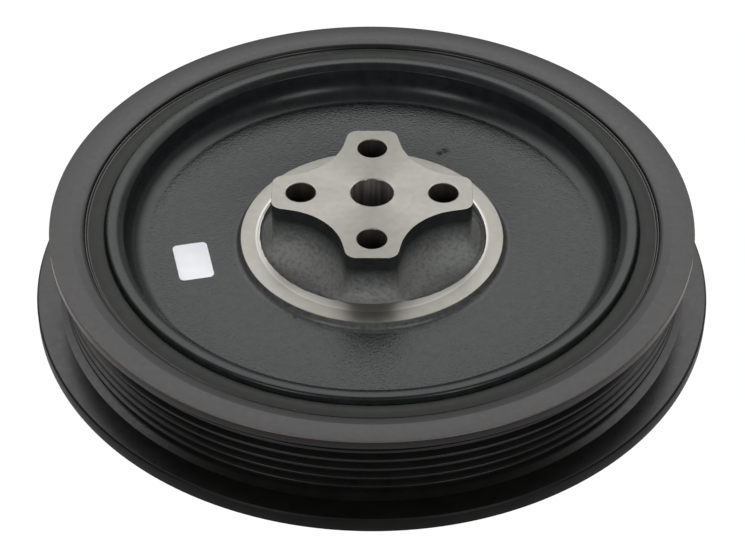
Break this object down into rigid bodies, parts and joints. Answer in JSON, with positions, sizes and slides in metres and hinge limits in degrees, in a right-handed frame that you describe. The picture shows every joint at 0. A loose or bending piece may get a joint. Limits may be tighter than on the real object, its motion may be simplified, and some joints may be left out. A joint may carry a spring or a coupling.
{
  "type": "harmonic balancer",
  "caption": "Crankshaft pulley damper: dished cast hub with a lobed boss, rubber ring, and outer inertia ring with a ribbed belt track and a rear flange.",
  "frame": {"origin": "on the turning axis, at the rear face of the flange, which is the lowest plane", "axes": "+Z along the turning axis towards the front boss, with two opposite boss lobes along X and two along Y"},
  "size_m": [0.2078, 0.2078, 0.0379],
  "materials": {
    "hub_iron": "satin grey paint on the casting, bare turned faces",
    "rubber": "matt",
    "ring_iron": "black semi-gloss paint",
    "label": "matt white"
  },
  "bodies": {
    "root": {"hub": "hub_iron", "damper_rubber": "rubber", "inertia_ring": "ring_iron", "blank_label": "label"}
  },
  "joints": []
}
